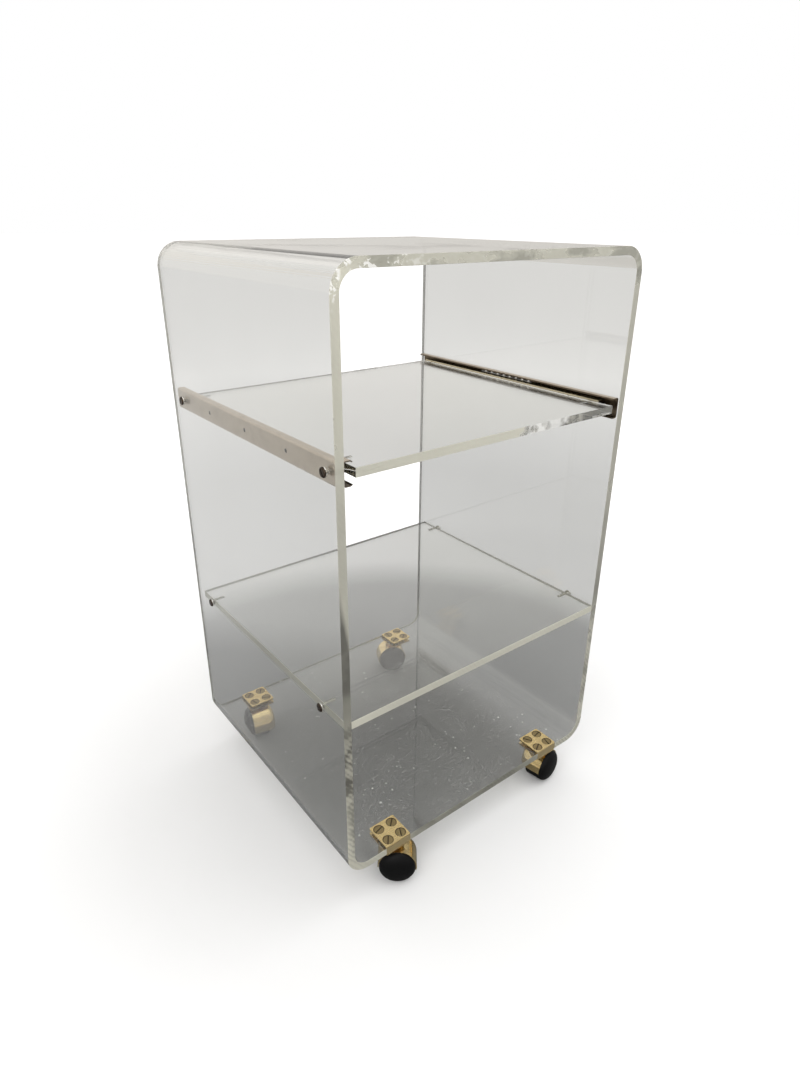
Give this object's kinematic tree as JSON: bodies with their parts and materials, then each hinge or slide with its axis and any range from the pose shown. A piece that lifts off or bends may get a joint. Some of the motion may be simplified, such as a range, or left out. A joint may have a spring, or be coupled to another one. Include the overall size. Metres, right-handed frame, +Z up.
{
  "type": "serving trolley",
  "caption": "Clear acrylic serving trolley: a bent open case with a fixed shelf, a shelf on ball slides and hooded brass swivel casters with domed wheels.",
  "frame": {"origin": "on the floor, under the middle of the trolley", "axes": "+Z up; the shelf pulls out toward -Y; +X to the right of someone who faces that side"},
  "size_m": [0.4352, 0.4134, 0.7615],
  "materials": {
    "acrylic": "clear polished sheet with pale sawn edges",
    "dark_screw": "dark bronzed steel",
    "zinc_screw": "zinc plated",
    "brass_screw": "dulled brass",
    "slide_nickel": "warm nickel plate",
    "slide_brass": "yellow passivated steel",
    "cage_steel": "plain steel",
    "ball_steel": "polished steel",
    "plate_brass": "brushed brass",
    "hood_brass": "polished brass",
    "pin_steel": "plain steel",
    "wheel_black": "scuffed black"
  },
  "bodies": {
    "case": {"case_shell": "acrylic", "lower_shelf": "acrylic", "lower_shelf_screws": "dark_screw", "slide_fixing_screws": "dark_screw", "left_slide_channel": "slide_nickel", "right_slide_channel": "slide_nickel", "caster_plate_screws": "brass_screw", "front_left_top_plate": "plate_brass", "front_left_base_plate": "plate_brass", "front_left_swivel_pin": "pin_steel", "front_right_top_plate": "plate_brass", "front_right_base_plate": "plate_brass", "front_right_swivel_pin": "pin_steel", "rear_left_top_plate": "plate_brass", "rear_left_base_plate": "plate_brass", "rear_left_swivel_pin": "pin_steel", "rear_right_top_plate": "plate_brass", "rear_right_base_plate": "plate_brass", "rear_right_swivel_pin": "pin_steel"},
    "shelf": {"sliding_shelf": "acrylic", "runner_screws": "zinc_screw", "left_slide_runner": "slide_brass", "right_slide_runner": "slide_brass"},
    "left_cage": {"left_ball_retainer": "cage_steel", "left_slide_balls": "ball_steel"},
    "right_cage": {"right_ball_retainer": "cage_steel", "right_slide_balls": "ball_steel"},
    "front_left_caster": {"front_left_hood": "hood_brass", "front_left_axle": "pin_steel"},
    "front_left_wheel": {"front_left_wheel": "wheel_black"},
    "front_right_caster": {"front_right_hood": "hood_brass", "front_right_axle": "pin_steel"},
    "front_right_wheel": {"front_right_wheel": "wheel_black"},
    "rear_left_caster": {"rear_left_hood": "hood_brass", "rear_left_axle": "pin_steel"},
    "rear_left_wheel": {"rear_left_wheel": "wheel_black"},
    "rear_right_caster": {"rear_right_hood": "hood_brass", "rear_right_axle": "pin_steel"},
    "rear_right_wheel": {"rear_right_wheel": "wheel_black"}
  },
  "joints": [
    {"name": "shelf_slide", "type": "slide", "parent": "case", "child": "shelf", "axis": [0, -1, 0], "range_m": [0, 0.25]},
    {"name": "left_cage_slide", "type": "slide", "parent": "case", "child": "left_cage", "axis": [0, -1, 0], "range_m": [0, 0.125]},
    {"name": "right_cage_slide", "type": "slide", "parent": "case", "child": "right_cage", "axis": [0, -1, 0], "range_m": [0, 0.125]},
    {"name": "front_left_swivel", "type": "hinge", "parent": "case", "child": "front_left_caster", "pos_m": [-0.139, -0.175, 0.0565], "axis": [0, 0, 1], "continuous": true},
    {"name": "front_left_roll", "type": "hinge", "parent": "front_left_caster", "child": "front_left_wheel", "pos_m": [-0.13112, -0.18116, 0.0238], "axis": [-0.6157, -0.788, 0], "continuous": true},
    {"name": "front_right_swivel", "type": "hinge", "parent": "case", "child": "front_right_caster", "pos_m": [0.139, -0.175, 0.0565], "axis": [0, 0, 1], "continuous": true},
    {"name": "front_right_roll", "type": "hinge", "parent": "front_right_caster", "child": "front_right_wheel", "pos_m": [0.14885, -0.17326, 0.0238], "axis": [0.1736, -0.9848, 0], "continuous": true},
    {"name": "rear_left_swivel", "type": "hinge", "parent": "case", "child": "rear_left_caster", "pos_m": [-0.139, 0.175, 0.0565], "axis": [0, 0, 1], "continuous": true},
    {"name": "rear_left_roll", "type": "hinge", "parent": "rear_left_caster", "child": "rear_left_wheel", "pos_m": [-0.14108, 0.16522, 0.0238], "axis": [-0.9781, 0.2079, 0], "continuous": true},
    {"name": "rear_right_swivel", "type": "hinge", "parent": "case", "child": "rear_right_caster", "pos_m": [0.139, 0.175, 0.0565], "axis": [0, 0, 1], "continuous": true},
    {"name": "rear_right_roll", "type": "hinge", "parent": "rear_right_caster", "child": "rear_right_wheel", "pos_m": [0.12994, 0.17923, 0.0238], "axis": [-0.4226, -0.9063, 0], "continuous": true}
  ],
  "couplings": [
    {"joint": "left_cage_slide", "follows": "shelf_slide", "ratio": 0.5},
    {"joint": "right_cage_slide", "follows": "shelf_slide", "ratio": 0.5}
  ]
}
